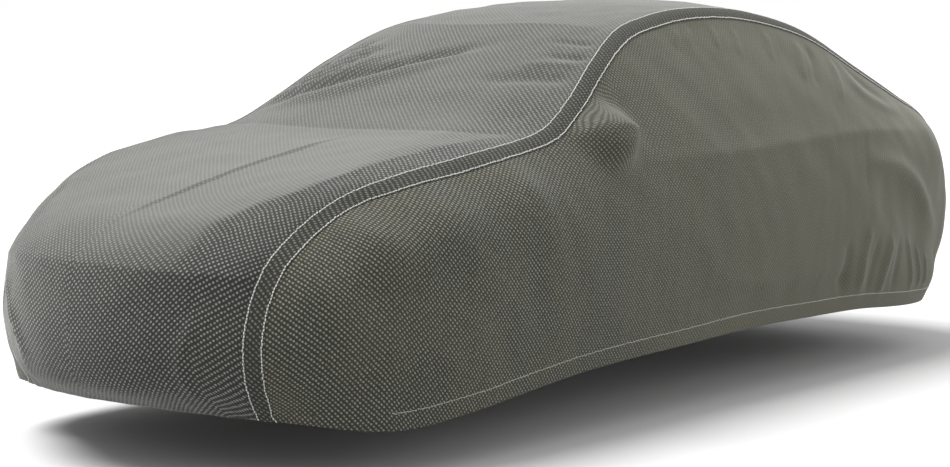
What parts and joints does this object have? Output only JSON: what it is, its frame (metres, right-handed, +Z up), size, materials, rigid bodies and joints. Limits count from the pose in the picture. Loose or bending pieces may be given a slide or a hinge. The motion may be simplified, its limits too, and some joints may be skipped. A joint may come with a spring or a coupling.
{
  "type": "car cover",
  "caption": "Fitted fabric cover shaped over a saloon car, with a centre panel, side panels with mirror pockets, flat seam tapes and an open hemmed underside.",
  "frame": {"origin": "middle of the bottom of the cover's bounding box, at the level of the hem's lowest point", "axes": "+Y along the length towards the tail, so the nose points to -Y; +Z up; +X towards the cover's left side"},
  "size_m": [1.89, 4.75, 1.3828],
  "materials": {
    "panel_cloth": "matt olive-grey woven cloth with small raised dots",
    "tape_cloth": "matt darker tape of the same dotted cloth with pale double stitching"
  },
  "bodies": {
    "root": {"centre_panel": "panel_cloth", "side_panel_left": "panel_cloth", "side_panel_right": "panel_cloth", "seam_tape_left": "tape_cloth", "seam_tape_right": "tape_cloth"}
  },
  "joints": []
}
